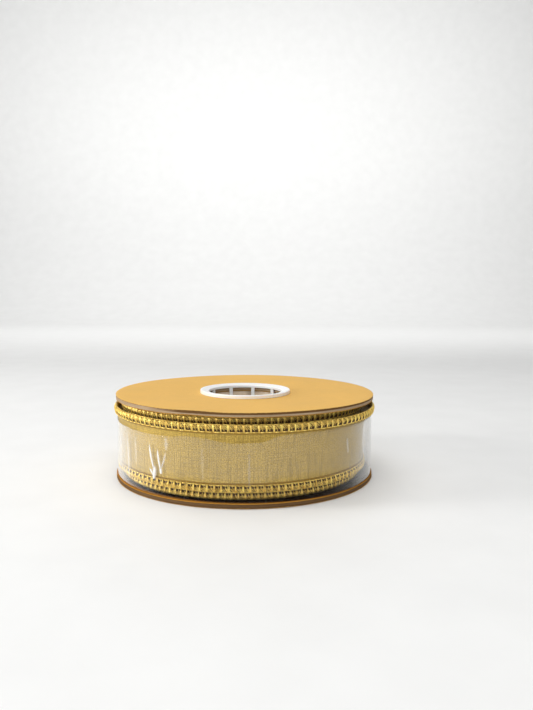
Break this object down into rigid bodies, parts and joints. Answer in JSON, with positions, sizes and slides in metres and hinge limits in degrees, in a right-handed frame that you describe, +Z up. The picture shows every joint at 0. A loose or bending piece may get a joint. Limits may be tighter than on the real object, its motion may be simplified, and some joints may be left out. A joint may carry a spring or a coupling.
{
  "type": "ribbon spool",
  "caption": "Round spool lying flat: kraft board flanges on a white plastic hub, wound with gold wired ribbon under a clear film sleeve.",
  "frame": {"origin": "on the spool's axis, at the surface that the spool stands on", "axes": "+Z up along the spool's axis, from the lower flange to the upper one; -Y towards the viewer"},
  "size_m": [0.1372, 0.1372, 0.0443],
  "materials": {
    "kraft_paper": "matt uncoated kraft paper",
    "greyboard": "raw cut greyboard",
    "hub_plastic": "smooth white moulded plastic",
    "tape": "clear tape, slightly yellow",
    "ribbon_fabric": "plain-woven gold taffeta with a soft sheen",
    "edging_thread": "shiny gold overlock thread",
    "edge_wire": "soft annealed wire",
    "clear_film": "thin clear glossy film"
  },
  "bodies": {
    "hub_and_ribbon": {"core_tube": "greyboard", "upper_hub_ring": "hub_plastic", "lower_hub_ring": "hub_plastic", "start_tape": "tape", "wound_ribbon": "ribbon_fabric", "wound_top_edging": "edging_thread", "wound_bottom_edging": "edging_thread", "outer_turn_web": "ribbon_fabric", "outer_turn_top_edging": "edging_thread", "outer_turn_bottom_edging": "edging_thread", "top_edge_wire": "edge_wire", "bottom_edge_wire": "edge_wire"},
    "top_flange": {"top_flange_board": "greyboard", "top_flange_outer_liner": "kraft_paper", "top_flange_inner_liner": "kraft_paper"},
    "bottom_flange": {"bottom_flange_board": "greyboard", "bottom_flange_inner_liner": "kraft_paper", "bottom_flange_outer_liner": "kraft_paper"},
    "film": {"film_sleeve": "clear_film"}
  },
  "joints": [
    {"name": "top_flange_turn", "type": "hinge", "parent": "hub_and_ribbon", "child": "top_flange", "pos_m": [0, 0, 0.0423], "axis": [0, 0, 1], "continuous": true},
    {"name": "bottom_flange_turn", "type": "hinge", "parent": "hub_and_ribbon", "child": "bottom_flange", "pos_m": [0, 0, 0.00125], "axis": [0, 0, 1], "continuous": true},
    {"name": "film_turn", "type": "hinge", "parent": "hub_and_ribbon", "child": "film", "pos_m": [0, 0, 0.0169], "axis": [0, 0, 1], "continuous": true}
  ]
}
